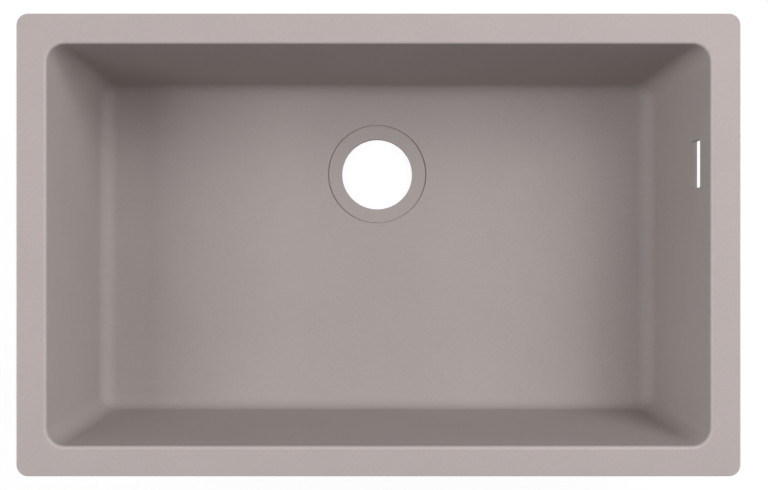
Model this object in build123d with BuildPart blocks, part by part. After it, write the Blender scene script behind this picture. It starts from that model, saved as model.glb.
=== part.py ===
"""Undermount kitchen sink: one moulded composite basin, hung from the worktop by swivelling clamps.

Millimetres. The origin is the centre of the bowl opening in the rim's top face.
+X is to the user's right, +Y is the back (the tap side), +Z is up.
"""

import os
from math import cos, radians, sin, tan

from build123d import *

# ---------------------------------------------------------------- driving dimensions
# Basin, seen from above
bowl_length = 660.0
bowl_width = 400.0
rim_width = 30.0
rim_corner_radius = 11.5
bowl_corner_radius = 18.0

# Basin, in section
bowl_depth = 190.0
wall_draft = 5.5
rim_thickness = 12.0
wall_thickness = 8.0
floor_thickness = 9.0
floor_fall = 0.5
rim_inner_radius = 4.0
rim_outer_radius = 1.2
rim_lower_chamfer = 1.0
rim_root_radius = 5.0
floor_radius = 17.0

# Drain, in the floor, set back from the bowl's back edge
drain_setback = 117.0
drain_diameter = 80.0
seat_diameter = 112.0
seat_depth = 1.5
seat_groove_width = 1.0
seat_groove_depth = 1.0
drain_boss_diameter = 134.0
drain_boss_height = 4.0

# Overflow, in the right wall, set back from the bowl's back edge
overflow_setback = 116.5
overflow_length = 49.0
overflow_height = 26.0
overflow_drop = 43.0
overflow_corner_radius = 1.5
overflow_wall = 6.2
overflow_pocket_margin = 8.0

# Clamp stations, spaced from the sink's centre lines, midway between the wall and the rim's edge
station_pitch = 240.0
boss_margin = 2.5
boss_height = 4.0

# Fixing set: M6 hexagon bolt, plain washer, brass insert, formed steel clamp
bolt_diameter = 6.0
bolt_length = 14.0
bolt_head_across_flats = 10.0
bolt_head_height = 4.0
washer_diameter = 12.0
washer_thickness = 1.6
insert_across_flats = 9.0
insert_length = 10.0
clamp_thickness = 3.0
clamp_margin = 3.5
clamp_reach = 48.0
clamp_step = 3.0
clamp_step_length = 5.0
clamp_bend_radius = 3.0
clamp_slot_width = 6.6
clamp_slot_length = 17.0
clamp_slot_end = 7.0
clamp_end_chamfer = 4.0

# Clearances
thread_clearance = 0.05
pivot_clearance = 0.1
washer_clearance = 0.2
clamp_play = 0.2
heel_clearance = 0.6
step_clearance = 1.5

# Picking edges and faces out of a form
upright_lean = 45.0
level_tolerance = 0.01

# ---------------------------------------------------------------- derived dimensions
rim_length = bowl_length + 2 * rim_width
rim_depth = bowl_width + 2 * rim_width
underside = -rim_thickness
boss_face = underside - boss_height
drain_offset = bowl_width / 2 - drain_setback
overflow_offset = bowl_width / 2 - overflow_setback


def wall_inset(depth):
    """How far the drafted wall has come in, at a depth below the rim."""
    return depth * tan(radians(wall_draft))


# The ledge under the rim, outside the wall, which carries the bosses and hides the clamps
ledge_width = rim_width - wall_thickness + wall_inset(rim_thickness)
station_inset = ledge_width / 2
boss_diameter = ledge_width - 2 * boss_margin
clamp_width = ledge_width - 2 * clamp_margin


def is_upright(edge):
    """True for the edges that run down the bowl's corners."""
    return abs(edge.tangent_at(0.5).Z) > cos(radians(upright_lean))


def level_at(shapes, height):
    """The edges or faces that lie level at a height."""
    return shapes.filter_by_position(
        Axis.Z, height - level_tolerance, height + level_tolerance
    )


# ---------------------------------------------------------------- basin
# The bowl is a drafted box whose floor plane falls towards the back, where the drain is.
# The same form, grown by the wall and the floor, is the outside of the shell.
def drafted_bowl(growth, floor_depth, corner_radius, foot_radius):
    """The bowl's space (growth 0) or its outside (growth = wall thickness)."""
    floor_plane = Plane(
        origin=(0, drain_offset, -floor_depth),
        x_dir=(1, 0, 0),
        z_dir=(0, sin(radians(floor_fall)), cos(radians(floor_fall))),
    )
    with BuildPart() as form:
        with BuildSketch(Plane.XY):
            Rectangle(bowl_length + 2 * growth, bowl_width + 2 * growth)
        extrude(amount=-floor_depth - floor_thickness)
        draft(form.faces().filter_by(Axis.Z, reverse=True), Plane.XY, -wall_draft)
        fillet(form.edges().filter_by(is_upright), corner_radius)
        split(bisect_by=floor_plane, keep=Keep.TOP)
        fillet(form.faces().sort_by(Axis.Z)[0].edges(), foot_radius)
    return form.part


bowl_space = drafted_bowl(0, bowl_depth, bowl_corner_radius, floor_radius)
bowl_outside = drafted_bowl(
    wall_thickness,
    bowl_depth + floor_thickness,
    bowl_corner_radius + wall_thickness,
    floor_radius + wall_thickness,
)

# The overflow is drawn on the right wall's inner face, square to its draft.
overflow_plane = Plane(
    origin=(
        bowl_length / 2 - wall_inset(overflow_drop),
        overflow_offset,
        -overflow_drop,
    ),
    x_dir=(0, 1, 0),
    z_dir=(cos(radians(wall_draft)), 0, -sin(radians(wall_draft))),
)

# Each clamp station is a plane on its boss: x along the stowed clamp, y towards the bowl.
station_x = rim_length / 2 - station_inset
station_y = rim_depth / 2 - station_inset
stations = {}
for place, along in (("left", -1), ("middle", 0), ("right", 1)):
    stations["front_" + place] = Plane(
        origin=(along * station_pitch, -station_y, boss_face),
        x_dir=(1, 0, 0),
        z_dir=(0, 0, 1),
    )
    stations["back_" + place] = Plane(
        origin=(along * station_pitch, station_y, boss_face),
        x_dir=(-1, 0, 0),
        z_dir=(0, 0, 1),
    )
stations["right"] = Plane(
    origin=(station_x, 0, boss_face), x_dir=(0, 1, 0), z_dir=(0, 0, 1)
)
stations["left"] = Plane(
    origin=(-station_x, 0, boss_face), x_dir=(0, -1, 0), z_dir=(0, 0, 1)
)


def side_view(station):
    """The upright plane through a station's bolt, x along the stowed clamp, y up."""
    return Plane(origin=station.origin, x_dir=station.x_dir, z_dir=-station.y_dir)


with BuildPart() as basin:
    # Rim plate and shell, with the moulded root between them
    with BuildSketch(Plane.XY):
        RectangleRounded(rim_length, rim_depth, rim_corner_radius)
    extrude(amount=-rim_thickness)
    add(bowl_outside)
    rim_roots = level_at(basin.edges(), underside).filter_by(lambda edge: edge.is_interior)
    fillet(rim_roots, rim_root_radius)
    # Flat boss round the drain, where the waste's gasket and nut bear
    with BuildSketch(Plane.XY.offset(-bowl_depth - floor_thickness - drain_boss_height)):
        with Locations((0, drain_offset)):
            Circle(drain_boss_diameter / 2)
    extrude(amount=drain_boss_height + floor_thickness / 2)
    # Bosses for the clamps
    for station in stations.values():
        with BuildSketch(station):
            Circle(boss_diameter / 2)
        extrude(amount=boss_height)
    # The bowl
    add(bowl_space, mode=Mode.SUBTRACT)
    top_face = basin.faces().filter_by(Axis.Z).sort_by(Axis.Z)[-1]
    fillet(top_face.inner_wires()[0].edges(), rim_inner_radius)
    top_face = basin.faces().filter_by(Axis.Z).sort_by(Axis.Z)[-1]
    fillet(top_face.outer_wire().edges(), rim_outer_radius)
    under_face = level_at(basin.faces().filter_by(Axis.Z), underside)[0]
    chamfer(under_face.outer_wire().edges(), rim_lower_chamfer)
    # Drain: a level seat for the strainer's flange, a relief groove round it, the waste hole
    with Locations((0, drain_offset, seat_depth - bowl_depth)):
        CounterBoreHole(drain_diameter / 2, seat_diameter / 2, 2 * seat_depth)
    with BuildSketch(Plane.XY.offset(-bowl_depth - seat_depth)):
        with Locations((0, drain_offset)):
            Circle(seat_diameter / 2)
            Circle(seat_diameter / 2 - seat_groove_width, mode=Mode.SUBTRACT)
    extrude(amount=-seat_groove_depth, mode=Mode.SUBTRACT)
    # Overflow: a slot through the wall, and outside it a pocket for the elbow's gasket
    with BuildSketch(overflow_plane):
        RectangleRounded(overflow_length, overflow_height, overflow_corner_radius)
    extrude(amount=2 * wall_thickness, both=True, mode=Mode.SUBTRACT)
    with BuildSketch(overflow_plane.offset(overflow_wall)):
        RectangleRounded(
            overflow_length + 2 * overflow_pocket_margin,
            overflow_height + 2 * overflow_pocket_margin,
            overflow_pocket_margin,
        )
    extrude(amount=wall_thickness, mode=Mode.SUBTRACT)
    # Hexagonal cavities that the cast-in inserts fill
    for station in stations.values():
        with BuildSketch(station):
            RegularPolygon(insert_across_flats / 2, 6, major_radius=False)
        extrude(amount=insert_length, mode=Mode.SUBTRACT)

os.makedirs("parts", exist_ok=True)
basin.part.label = "basin"
export_step(basin.part, "parts/basin.step")


# ---------------------------------------------------------------- fixing set
# Heights below the boss face, which is each station's own zero
clamp_seat = -clamp_play
clamp_foot = clamp_seat - clamp_thickness
washer_foot = clamp_foot - washer_thickness
step_start = boss_diameter / 2 + step_clearance
wall_gap = rim_width - station_inset - wall_thickness + wall_inset(-boss_face)
heel_length = wall_gap - heel_clearance


def make_insert(station):
    """Hexagonal brass insert cast into the rim, bored through for the bolt."""
    with BuildPart() as insert:
        with BuildSketch(station):
            RegularPolygon(insert_across_flats / 2, 6, major_radius=False)
            Circle(bolt_diameter / 2 + thread_clearance, mode=Mode.SUBTRACT)
        extrude(amount=insert_length)
    return insert.part


def make_bolt(station):
    """Hexagon-head bolt, from below: shank into the insert, head under the washer."""
    with BuildPart() as bolt:
        with BuildSketch(station.offset(washer_foot)):
            Circle(bolt_diameter / 2)
        extrude(amount=bolt_length)
        with BuildSketch(station.offset(washer_foot)):
            RegularPolygon(bolt_head_across_flats / 2, 6, major_radius=False)
        extrude(amount=-bolt_head_height)
    return bolt.part


def make_clamp(station):
    """Steel strap, stepped up past the boss, with a pivot hole and a slot for the worktop.

    One heel corner is rounded about the pivot, so the clamp swings out from under the rim.
    The other is square, so it comes against the bowl's wall when the clamp stands out.
    """
    half_width = clamp_width / 2
    heel_middle = clamp_seat - clamp_thickness / 2
    swing_corner = (heel_length**2 - half_width**2) ** 0.5
    slot_centre = clamp_reach - clamp_slot_end - clamp_slot_length / 2
    with BuildPart() as clamp:
        with BuildSketch(side_view(station)):
            with BuildLine():
                FilletPolyline(
                    (-heel_length, heel_middle),
                    (step_start, heel_middle),
                    (step_start + clamp_step_length, heel_middle + clamp_step),
                    (clamp_reach, heel_middle + clamp_step),
                    radius=clamp_bend_radius,
                )
            trace(line_width=clamp_thickness)
        extrude(amount=half_width, both=True)
        with BuildSketch(station.offset(clamp_foot)) as clamp_outline:
            with BuildLine():
                RadiusArc((-swing_corner, half_width), (-heel_length, 0), -heel_length)
                Polyline(
                    (-heel_length, 0),
                    (-heel_length, -half_width),
                    (clamp_reach, -half_width),
                    (clamp_reach, half_width),
                    (-swing_corner, half_width),
                )
            make_face()
            chamfer(clamp_outline.vertices().group_by(Axis.X)[-1], clamp_end_chamfer)
        extrude(amount=clamp_thickness + clamp_step, mode=Mode.INTERSECT)
        with BuildSketch(station.offset(clamp_foot)):
            Circle(bolt_diameter / 2 + pivot_clearance)
            with Locations((slot_centre, 0)):
                SlotOverall(clamp_slot_length, clamp_slot_width)
        extrude(amount=clamp_thickness + clamp_step, mode=Mode.SUBTRACT)
    return clamp.part


with BuildPart() as washers:
    for station in stations.values():
        with BuildSketch(station.offset(washer_foot)):
            Circle(washer_diameter / 2)
            Circle(bolt_diameter / 2 + washer_clearance, mode=Mode.SUBTRACT)
        extrude(amount=washer_thickness)
washers.part.label = "washers"
export_step(washers.part, "parts/washers.step")

for place, station in stations.items():
    for kind, make in (
        ("insert", make_insert),
        ("bolt", make_bolt),
        ("clamp", make_clamp),
    ):
        piece = make(station)
        piece.label = kind + "_" + place
        export_step(piece, "parts/" + piece.label + ".step")
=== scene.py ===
"""Looks of a moulded composite kitchen sink that hangs under a worktop, and of its clamps."""

import math

import bmesh
import bpy
import numpy as np
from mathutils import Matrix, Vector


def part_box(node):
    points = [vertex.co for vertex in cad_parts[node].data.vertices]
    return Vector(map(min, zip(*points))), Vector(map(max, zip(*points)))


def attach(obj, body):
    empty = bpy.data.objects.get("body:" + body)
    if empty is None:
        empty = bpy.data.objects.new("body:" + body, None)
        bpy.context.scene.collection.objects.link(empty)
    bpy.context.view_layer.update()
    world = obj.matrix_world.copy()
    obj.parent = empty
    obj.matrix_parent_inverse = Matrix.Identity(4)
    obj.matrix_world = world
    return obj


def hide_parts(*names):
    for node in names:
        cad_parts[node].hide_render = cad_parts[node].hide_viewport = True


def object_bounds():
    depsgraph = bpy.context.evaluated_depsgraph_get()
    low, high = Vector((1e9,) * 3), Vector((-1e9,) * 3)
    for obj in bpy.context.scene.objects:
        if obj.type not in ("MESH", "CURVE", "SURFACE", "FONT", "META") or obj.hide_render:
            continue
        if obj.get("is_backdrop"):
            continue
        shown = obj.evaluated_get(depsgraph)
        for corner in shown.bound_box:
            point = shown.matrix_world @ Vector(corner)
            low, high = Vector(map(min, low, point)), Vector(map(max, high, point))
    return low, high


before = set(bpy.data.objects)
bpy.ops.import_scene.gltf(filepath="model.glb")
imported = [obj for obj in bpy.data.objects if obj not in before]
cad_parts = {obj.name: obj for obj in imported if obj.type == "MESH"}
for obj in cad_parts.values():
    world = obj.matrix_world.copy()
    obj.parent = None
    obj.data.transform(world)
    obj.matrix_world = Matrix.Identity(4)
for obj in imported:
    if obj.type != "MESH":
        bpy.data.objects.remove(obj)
cad_low, cad_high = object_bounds()


# ---------------------------------------------------------------- camera
# The sink is seen from straight above, from a camera a little to the left and front of its centre.
# The shift centres the sink in the picture without a tilt.
photo_width = 768
camera_place = (-0.0099, -0.0172, 1.3)
focal_pixels = 1308.5
shift_pixels = (15.5, 17.2)
sensor_width = 36.0
farthest_seen = 50.0

camera = bpy.data.objects.new("camera", bpy.data.cameras.new("camera"))
bpy.context.scene.collection.objects.link(camera)
bpy.context.scene.camera = camera
camera.location = camera_place
camera.data.sensor_width = sensor_width
camera.data.lens = focal_pixels * sensor_width / photo_width
camera.data.shift_x = shift_pixels[0] / photo_width
camera.data.shift_y = shift_pixels[1] / photo_width
camera.data.clip_end = farthest_seen


# ---------------------------------------------------------------- studio
# A pale floor under the drain boss and a white surround. Broad soft lamps stand at the right, the left
# and the back. A long strip in front, almost all of it below the rim, lights little but the outside.
floor_half_width = 6.0
floor_grey, floor_seen_grey = 0.55, 0.12
glow_near, glow_far = 0.92, 1.0
fade_start, fade_end = 0.8, 2.5
surround_light, surround_seen = 0.0, 1.0
white = (1, 1, 1, 1)
lamp_distance, lamp_side = 2.5, 1.2
strip_width, strip_height = 2.4, 0.2

bpy.context.scene.view_settings.view_transform = "Standard"


def node(tree, kind, inputs, **settings):
    """Adds a shader node. Settings are its options, inputs its sockets' values or what feeds them."""
    made = tree.nodes.new("ShaderNode" + kind)
    for option, value in settings.items():
        setattr(made, option, value)
    for socket, value in inputs.items():
        if isinstance(value, bpy.types.NodeSocket):
            tree.links.new(value, made.inputs[socket])
        else:
            made.inputs[socket].default_value = value
    return made


def maths(tree, operation, *inputs):
    """The output of a Math node."""
    return node(tree, "Math", dict(enumerate(inputs)), operation=operation).outputs[0]


def mapped(tree, value, low, high, to_low, to_high):
    """A value's range, carried over to another range and held inside it."""
    return node(tree, "MapRange", {"Value": value, "From Min": low, "From Max": high,
                                   "To Min": to_low, "To Max": to_high}).outputs[0]


def bare_material(name):
    """A material whose node tree is empty."""
    material = bpy.data.materials.new(name)
    material.use_nodes = True
    material.node_tree.nodes.clear()
    return material


def seen_directly(tree):
    """1 for rays from the camera, a mirror or glass, and 0 for the light that reaches the object."""
    path = node(tree, "LightPath", {})
    either = maths(tree, "MAXIMUM", path.outputs["Is Camera Ray"], path.outputs["Is Glossy Ray"])
    return maths(tree, "MAXIMUM", either, path.outputs["Is Transmission Ray"])


floor_paint = bare_material("studio_floor")
tree = floor_paint.node_tree
pale = node(tree, "BsdfDiffuse", {"Color": (floor_grey, floor_grey, floor_grey, 1)})
pale_seen = node(tree, "BsdfDiffuse", {"Color": (floor_seen_grey, floor_seen_grey, floor_seen_grey, 1)})
floor_place = node(tree, "TexCoord", {}).outputs["Object"]
away = node(tree, "VectorMath", {0: floor_place}, operation="LENGTH").outputs["Value"]
strength = mapped(tree, away, fade_start, fade_end, glow_near, glow_far)
glow = node(tree, "Emission", {"Color": white, "Strength": strength})
seen = node(tree, "AddShader", {0: pale_seen.outputs[0], 1: glow.outputs[0]})
mixed = node(tree, "MixShader", {0: seen_directly(tree), 1: pale.outputs[0], 2: seen.outputs[0]})
node(tree, "OutputMaterial", {"Surface": mixed.outputs[0]})

floor_mesh = bpy.data.meshes.new("studio_floor")
corners = floor_half_width * np.array([(-1, -1), (1, -1), (1, 1), (-1, 1)])
floor_mesh.from_pydata(np.c_[corners, np.full(4, cad_low.z)].tolist(), [], [(0, 1, 2, 3)])
floor_mesh.materials.append(floor_paint)
floor = bpy.data.objects.new("studio_floor", floor_mesh)
bpy.context.scene.collection.objects.link(floor)
floor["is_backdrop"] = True

world = bpy.data.worlds.new("studio")
bpy.context.scene.world = world
world.use_nodes = True
tree = world.node_tree
tree.nodes.clear()
ambient = node(tree, "Background", {"Color": white, "Strength": surround_light})
surround = node(tree, "Background", {"Color": white, "Strength": surround_seen})
mixed = node(tree, "MixShader", {0: seen_directly(tree), 1: ambient.outputs[0], 2: surround.outputs[0]})
node(tree, "OutputWorld", {"Surface": mixed.outputs[0]})


def soft_lamp(name, azimuth, elevation, width, height, power):
    """A flat lamp that faces the middle of the rim, in degrees, metres and watts.

    Azimuth 0 is over +X and 90 over the back. Its width is level, and its height is square to that.
    """
    around, up = math.radians(azimuth), math.radians(elevation)
    lamp = bpy.data.objects.new(name, bpy.data.lights.new(name, "AREA"))
    bpy.context.scene.collection.objects.link(lamp)
    lamp.location = (lamp_distance * math.cos(up) * math.cos(around),
                     lamp_distance * math.cos(up) * math.sin(around), lamp_distance * math.sin(up))
    lamp.rotation_euler = (math.pi / 2 - up, 0, around + math.pi / 2)
    lamp.data.shape = "RECTANGLE"
    lamp.data.size, lamp.data.size_y = width, height
    lamp.data.energy = power


soft_lamp("right_low", 0, 10, lamp_side, lamp_side, 17.0)
soft_lamp("right", 0, 48, lamp_side, lamp_side, 13.9)
soft_lamp("left_low", 180, 10, lamp_side, lamp_side, 17.2)
soft_lamp("left", 180, 48, lamp_side, lamp_side, 25.7)
soft_lamp("back", 45, 48, lamp_side, lamp_side, 22.6)
soft_lamp("back_high", 45, 68, lamp_side, lamp_side, 11.8)
soft_lamp("front_low", 270, -2, strip_width, strip_height, 6.0)


# ---------------------------------------------------------------- basin
# One casting of quartz sand in acrylic, warm grey all through. The bowl is fine and matt from the mould's
# smooth side, and its colour is darker than the rim's as painted shade. The rim's face is lighter as painted
# light on the top, with edges worn smooth and given a painted highlight, and the outside is coarser and
# duller.
# The bowl's colour is darker than the rim's as painted shade, and the rim's is lighter as painted light on
# its top face.
bowl_shade_colour, outside_colour = (0.424, 0.379, 0.368), (0.486, 0.426, 0.418)
# The edge's colour is lighter still, as a painted highlight on the rim's rounded edges.
rim_lit_colour, edge_highlight_colour = (0.486, 0.424, 0.417), (0.536, 0.468, 0.459)
matt_roughness = (0.62, 0.74)
coarse_roughness_more = 0.15
worn_roughness = 0.35
reflection = 0.2

bowl_half_length, bowl_half_width = 0.330, 0.200
bowl_depth = 0.190
wall_draft = math.tan(math.radians(5.5))
wall_thickness, floor_thickness, foot_radius = 0.008, 0.009, 0.017
wall_middle, floor_middle = wall_thickness / 2, floor_thickness / 2
foot_middle = foot_radius + wall_middle

# How deep under the rim's face the coarse outside starts, which is just above the rim's underside, and
# the heights between which the rim face's painted light ends and the rounded edge's painted highlight starts.
coarse_depth, coarse_blend = 0.0105, 0.002
rim_top_from, rim_top_to = -0.0020, -0.0010
rounded_from, rounded_to = -0.00010, -0.00002

# Scales are cells a metre, and contrasts are shares of the colour each way.
grain_scale, grain_contrast = 1300.0, 0.04
cloud_scale, cloud_contrast = 14.0, 0.015
matt_scale = 700.0
fine_scale, coarse_scale = 1600.0, 420.0
coarse_height = 6.0
relief_depth = 0.00003


def noise(tree, where, scale, detail=2.0):
    """Soft noise of a scale in cells a metre, about 0.5 in the middle."""
    return node(tree, "TexNoise", {"Vector": where, "Scale": scale, "Detail": detail}).outputs[0]


def varied(tree, where, scale, low, high, detail=2.0, reach=0.2):
    """Noise, with its values within a reach of 0.5 carried over to the range from low to high."""
    return mapped(tree, noise(tree, where, scale, detail), 0.5 - reach, 0.5 + reach, low, high)


def blended(tree, share, first, second):
    """A colour that turns from the first to the second, as a share goes from 0 to 1."""
    ends = [end if isinstance(end, bpy.types.NodeSocket) else (*end, 1) for end in (first, second)]
    return node(tree, "Mix", {0: share, 6: ends[0], 7: ends[1]}, data_type="RGBA").outputs[2]


composite = bare_material("composite")
tree = composite.node_tree
place = node(tree, "TexCoord", {}).outputs["Object"]

# 1 outside the middle of the shell and below the rim's face, and 0 in the bowl and on the rim. The
# shell's middle is a drafted box with rounded edges: the length of the part past its flat stretches.
apart = node(tree, "SeparateXYZ", {0: place})
height = apart.outputs[2]
taper = maths(tree, "MULTIPLY", height, wall_draft)
flat_length = maths(tree, "ADD", taper, bowl_half_length + wall_middle - foot_middle)
flat_width = maths(tree, "ADD", taper, bowl_half_width + wall_middle - foot_middle)
past_side = maths(tree, "SUBTRACT", maths(tree, "ABSOLUTE", apart.outputs[0]), flat_length)
past_front = maths(tree, "SUBTRACT", maths(tree, "ABSOLUTE", apart.outputs[1]), flat_width)
past_floor = maths(tree, "SUBTRACT", -bowl_depth - floor_middle + foot_middle, height)
past_flats = node(tree, "CombineXYZ", {0: maths(tree, "MAXIMUM", past_side, 0.0),
                                       1: maths(tree, "MAXIMUM", past_front, 0.0),
                                       2: maths(tree, "MAXIMUM", past_floor, 0.0)}).outputs[0]
past_edges = node(tree, "VectorMath", {0: past_flats}, operation="LENGTH").outputs["Value"]
past_wall = maths(tree, "SUBTRACT", past_edges, foot_middle)
below_rim = maths(tree, "SUBTRACT", -coarse_depth, height)
outside = mapped(tree, maths(tree, "MINIMUM", past_wall, below_rim),
                 -coarse_blend / 2, coarse_blend / 2, 0.0, 1.0)

# The rim's top face, which gets painted light, and the rounding at its edges, which gets a painted highlight
# and a smoother finish, by height alone.
rim_top = mapped(tree, height, rim_top_from, rim_top_to, 0.0, 1.0)
rounded = mapped(tree, height, rounded_from, rounded_to, 1.0, 0.0)
worn = maths(tree, "MULTIPLY", rim_top, rounded)

# Painted shade: the bowl darker than the outside and the rim. Painted light: the rim's top face lighter.
bowl_shade_or_outside = blended(tree, outside, bowl_shade_colour, outside_colour)
# Painted highlight: the rim's rounded edges lighter than its face.
face = blended(tree, rounded, rim_lit_colour, edge_highlight_colour)
plain = blended(tree, rim_top, bowl_shade_or_outside, face)
grains = node(tree, "TexVoronoi", {"Vector": place, "Scale": grain_scale})
grain_tone = node(tree, "SeparateColor", {"Color": grains.outputs["Color"]}).outputs[0]
grain = mapped(tree, grain_tone, 0.0, 1.0, 1 - grain_contrast, 1 + grain_contrast)
cloud = varied(tree, place, cloud_scale, 1 - cloud_contrast, 1 + cloud_contrast, detail=3.0)
tone = maths(tree, "MULTIPLY", grain, cloud)
colour = node(tree, "VectorMath", {0: plain, "Scale": tone}, operation="SCALE").outputs[0]

matt = maths(tree, "ADD", varied(tree, place, matt_scale, *matt_roughness),
             maths(tree, "MULTIPLY", outside, coarse_roughness_more))
gloss = node(tree, "Mix", {0: worn, 2: matt, 3: worn_roughness}, data_type="FLOAT").outputs[0]
coarse = maths(tree, "MULTIPLY", noise(tree, place, coarse_scale, detail=4.0), coarse_height)
sandy = maths(tree, "ADD", noise(tree, place, fine_scale), maths(tree, "MULTIPLY", coarse, outside))
relief = node(tree, "Bump", {"Height": sandy, "Strength": 1.0, "Distance": relief_depth})
skin = node(tree, "BsdfPrincipled", {"Base Color": colour, "Roughness": gloss,
                                     "Specular IOR Level": reflection, "Normal": relief.outputs[0]})
node(tree, "OutputMaterial", {"Surface": skin.outputs[0]})
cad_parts["basin"].material_slots[0].material = composite


# ---------------------------------------------------------------- inserts
# Hexagonal brass nuts cast into the bosses under the rim, turned from drawn bar and a little dulled.
# Each bolt is screwed up into one.
brass_colour = (0.72, 0.55, 0.27)
tarnish_scale, tarnish_tone = 300.0, (0.86, 1.04)
turning_scale, turning_roughness = 2500.0, (0.25, 0.45)

brass = bare_material("brass")
tree = brass.node_tree
place = node(tree, "TexCoord", {}).outputs["Object"]
tarnish = varied(tree, place, tarnish_scale, *tarnish_tone, detail=3.0, reach=0.15)
colour = node(tree, "VectorMath", {0: brass_colour, "Scale": tarnish}, operation="SCALE").outputs[0]
turned = varied(tree, place, turning_scale, *turning_roughness)
skin = node(tree, "BsdfPrincipled", {"Base Color": colour, "Roughness": turned, "Metallic": 1.0})
node(tree, "OutputMaterial", {"Surface": skin.outputs[0]})

places = sorted(name.removeprefix("bolt_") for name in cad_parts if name.startswith("bolt_"))
for spot in places:
    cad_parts["insert_" + spot].material_slots[0].material = brass


# ---------------------------------------------------------------- bolts
# M6 hexagon bolts of cold-forged steel, zinc plated, one screwed up into each insert. The head has
# a chamfered face with a shallow dish, and a raised washer face on its other side.
zinc_colour, straw_colour = (0.62, 0.62, 0.63), (0.66, 0.64, 0.58)
stain_scale, plate_scale = 220.0, 1800.0
smoother, rougher = 0.07, 0.09
bolt_roughness = 0.32
columns = 72
shank_radius = 0.003
thread_pitch, thread_depth, thread_steps = 0.001, 0.00054, 6
plain_shank, tip_chamfer = 0.0012, 0.0007
dish_radius, dish_depth = 0.0026, 0.0003
face_radius, face_height = 0.0044, 0.0003
cone_share = 0.92
chamfer_slope = math.tan(math.radians(30))
rounding_size = 0.00012
crease = math.radians(40)


def zinc_plate(name, roughness, stain_colour):
    """Bright zinc plate: faint clouds of a second colour, and a roughness that varies about a middle."""
    plate = bare_material(name)
    tree = plate.node_tree
    place = node(tree, "TexCoord", {}).outputs["Object"]
    stain = varied(tree, place, stain_scale, 0.0, 1.0, detail=3.0, reach=0.15)
    colour = blended(tree, stain, zinc_colour, stain_colour)
    gloss = varied(tree, place, plate_scale, roughness - smoother, roughness + rougher, detail=3.0)
    skin = node(tree, "BsdfPrincipled", {"Base Color": colour, "Roughness": gloss, "Metallic": 1.0})
    node(tree, "OutputMaterial", {"Surface": skin.outputs[0]})
    return plate


def steel_piece(name, mesh, *finishes):
    """A piece of a mesh that is smooth-shaded up to its creases, in the given finishes."""
    mesh.polygons.foreach_set("use_smooth", np.ones(len(mesh.polygons), bool))
    mesh.set_sharp_from_angle(angle=crease)
    for finish in finishes:
        mesh.materials.append(finish)
    piece = bpy.data.objects.new(name, mesh)
    bpy.context.scene.collection.objects.link(piece)
    return piece


def plated_piece(name, points, faces):
    """A zinc-plated piece of points and faces."""
    mesh = bpy.data.meshes.new(name)
    mesh.from_pydata(points.reshape(-1, 3).tolist(), [], faces)
    return steel_piece(name, mesh, zinc)


def hexagon(angle, across):
    """A hexagon's radius: half its width across flats, over the cosine of the angle to the nearest flat."""
    return across / 2 / np.cos(angle % (math.pi / 3) - math.pi / 6)


def bolt_rows(angle, across, head_low, head_high, tip):
    """Radius and height of each row round a bolt, from the middle of its head to the middle of its tip.

    The head's corners are cut by a cone. The thread is a cosine in height less the share of a turn.
    """
    side = hexagon(angle, across)
    cone = across / 2 * cone_share
    cut = head_low + (side - cone) * chamfer_slope
    flat = np.ones_like(angle)
    face_low = head_high - face_height
    turns = np.arange(head_high + plain_shank, tip - tip_chamfer, thread_pitch / thread_steps)
    wave = [(z, 0.5 - 0.5 * np.cos(2 * math.pi * (z / thread_pitch) - angle)) for z in turns]
    rows = [
        (0 * flat, (head_low + dish_depth) * flat),
        ((dish_radius - rounding_size) * flat, (head_low + dish_depth) * flat),
        ((dish_radius + dish_depth) * flat, head_low * flat),
        ((cone - rounding_size) * flat, head_low * flat),
        ((cone + rounding_size) * flat, (head_low + rounding_size * chamfer_slope) * flat),
        (side - rounding_size, cut - rounding_size * chamfer_slope),
        (side, cut + rounding_size),
        (side, (face_low - rounding_size) * flat),
        (side - rounding_size, face_low * flat),
        (face_radius * flat, face_low * flat),
        (face_radius * flat, (head_high - rounding_size) * flat),
        ((face_radius - rounding_size) * flat, head_high * flat),
        (shank_radius * flat, head_high * flat),
        (shank_radius * flat, (head_high + plain_shank - thread_pitch / 4) * flat),
        *[(shank_radius - thread_depth * dip, z * flat) for z, dip in wave],
        ((shank_radius - thread_depth) * flat, tip * flat),
        (0 * flat, tip * flat),
    ]
    return np.array([r for r, _ in rows]), np.array([z for _, z in rows])


def turned_faces(rows):
    """Quads between rows of columns, closed round, with a fan of triangles on the first and last row."""
    ring = np.arange(columns)
    after = (ring + 1) % columns
    start = 1 + columns * np.arange(rows - 3)[:, None]
    quads = np.stack([start + ring, start + after, start + columns + after, start + columns + ring], -1)
    last = 1 + columns * (rows - 2)
    first_fan = np.stack([np.zeros_like(ring), 1 + after, 1 + ring], -1)
    last_fan = np.stack([np.full_like(ring, last), last - columns + ring, last - columns + after], -1)
    return quads.reshape(-1, 4).tolist() + first_fan.tolist() + last_fan.tolist()


zinc = zinc_plate("zinc_plate", bolt_roughness, straw_colour)
washer_low, washer_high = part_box("washers")
angle = np.linspace(0, 2 * math.pi, columns, endpoint=False)
for spot in places:
    low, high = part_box("bolt_" + spot)
    size = high - low
    corner_angle = 0 if size.x > size.y else math.pi / 2
    radius, rise = bolt_rows(angle, min(size.x, size.y), low.z, washer_low.z, high.z)
    points = np.stack([(low.x + high.x) / 2 + radius * np.cos(angle + corner_angle),
                       (low.y + high.y) / 2 + radius * np.sin(angle + corner_angle), rise], -1)
    rows = len(points)
    points = np.concatenate([points[0, :1], points[1:-1].reshape(-1, 3), points[-1, :1]])
    bolt = plated_piece("hexagon_bolt_" + spot, points, turned_faces(rows))
    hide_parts("bolt_" + spot)
    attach(bolt, "root")


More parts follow.
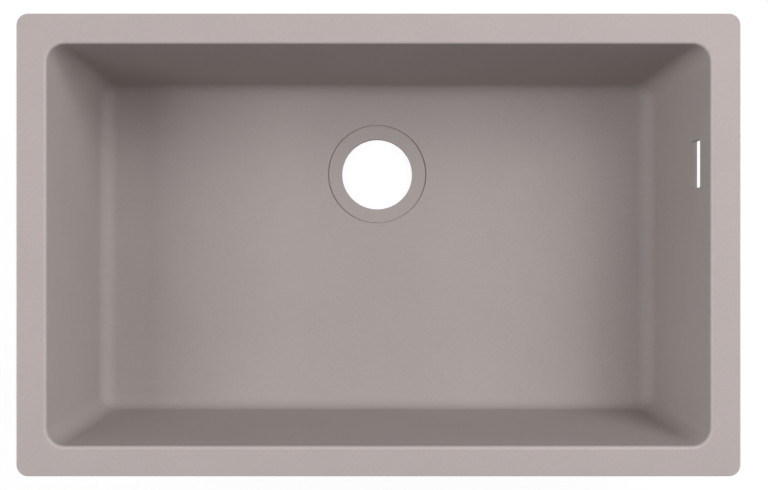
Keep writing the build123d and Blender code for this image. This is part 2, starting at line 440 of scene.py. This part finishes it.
# ---------------------------------------------------------------- washers
# Plain M6 washers stamped from steel strip and zinc plated, with rounded edges. One lies between each
# bolt's head and its clamp.
washer_hole, washer_edge = 0.0032, 0.0060
corner_reach = 0.00035
turn_points, section_points = 64, 24


def boxed(value, reach, half):
    """A cosine or sine, stretched past a half width and cut off there, which leaves rounded corners."""
    return np.clip(value * (half + reach), -half, half)


# The section's points, carried round each bolt's centre.
turn = np.linspace(0, 2 * math.pi, turn_points, endpoint=False)[:, None]
section = np.linspace(0, 2 * math.pi, section_points, endpoint=False)
thickness = washer_high.z - washer_low.z
across = (washer_hole + washer_edge) / 2 + boxed(np.cos(section), corner_reach,
                                                 (washer_edge - washer_hole) / 2)
rise = (washer_low.z + washer_high.z) / 2 + boxed(np.sin(section), corner_reach, thickness / 2)
ring = np.stack([across * np.cos(turn), across * np.sin(turn), rise + 0 * turn], -1)
middles = np.array([(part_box("bolt_" + spot)[0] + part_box("bolt_" + spot)[1]) / 2 for spot in places])
level = np.concatenate([middles[:, :2], np.zeros((len(places), 1))], 1)
points = ring.reshape(1, -1, 3) + level[:, None]

# Quads between each section and the next, the same on every washer.
ring_points = turn_points * section_points
step = np.arange(turn_points)[:, None] * section_points
next_step = (step + section_points) % ring_points
here = np.arange(section_points)
beside = (here + 1) % section_points
quads = np.stack([step + here, next_step + here, next_step + beside, step + beside], -1).reshape(1, -1, 4)
faces = (quads + ring_points * np.arange(len(places))[:, None, None]).reshape(-1, 4)
washers = plated_piece("plain_washers", points, faces.tolist())
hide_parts("washers")
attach(washers, "root")


# ---------------------------------------------------------------- clamps
# Steel straps, blanked and stepped in one press stroke and zinc plated. Each swivels on its bolt,
# and its long slot takes the screw that hangs it from the worktop. The edges are rubbed bright.
rubbed_colour = (0.68, 0.67, 0.66)
rubbed_roughness, rolled_roughness = 0.26, 0.40
strap_edge, strap_edge_steps = 0.0004, 2
grain_along, grain_across = 60.0, 2600.0
groove_share, groove_depth = 0.6, 0.00002
same_point, same_plane = 0.000001, math.radians(0.5)

rubbed = zinc_plate("zinc_rubbed", rubbed_roughness, rubbed_colour)
rolled = zinc_plate("zinc_rolled", rolled_roughness, straw_colour)
tree = rolled.node_tree
strap_place = node(tree, "Attribute", {}, attribute_name="strap_place").outputs["Vector"]
stretch = node(tree, "Mapping", {"Vector": strap_place, "Scale": (grain_along, grain_across, 1.0)}).outputs[0]
lines = noise(tree, stretch, 1.0, detail=3.0)
groove = node(tree, "Bump", {"Height": lines, "Strength": groove_share, "Distance": groove_depth})
shader = next(n for n in tree.nodes if n.type == "BSDF_PRINCIPLED")
tree.links.new(groove.outputs[0], shader.inputs["Normal"])

for spot in places:
    # A copy of the strap, with its loose triangles merged into flat faces.
    work = bmesh.new()
    work.from_mesh(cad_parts["clamp_" + spot].data)
    bmesh.ops.remove_doubles(work, verts=work.verts, dist=same_point)
    bmesh.ops.dissolve_limit(work, angle_limit=same_plane, verts=work.verts, edges=work.edges)
    mesh = bpy.data.meshes.new("worktop_clamp_" + spot)
    work.to_mesh(mesh)
    work.free()

    # The rolled grain follows the strap's length, so X and Y change places where it lies along Y.
    low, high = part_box("clamp_" + spot)
    grain_place = np.zeros(len(mesh.vertices) * 3)
    mesh.vertices.foreach_get("co", grain_place)
    grain_place = grain_place.reshape(-1, 3)
    if high.y - low.y > high.x - low.x:
        grain_place = grain_place[:, [1, 0, 2]]
    strap = mesh.attributes.new("strap_place", "FLOAT_VECTOR", "POINT")
    strap.data.foreach_set("vector", grain_place.ravel())

    mesh.materials.clear()
    clamp = steel_piece("worktop_clamp_" + spot, mesh, rolled, rubbed)
    rounding = clamp.modifiers.new("rounding", "BEVEL")
    rounding.width = strap_edge
    rounding.segments = strap_edge_steps
    rounding.limit_method = "ANGLE"
    rounding.angle_limit = crease
    rounding.material = clamp.material_slots.find("zinc_rubbed")
    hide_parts("clamp_" + spot)
    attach(clamp, "swing_" + spot)


low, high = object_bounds()
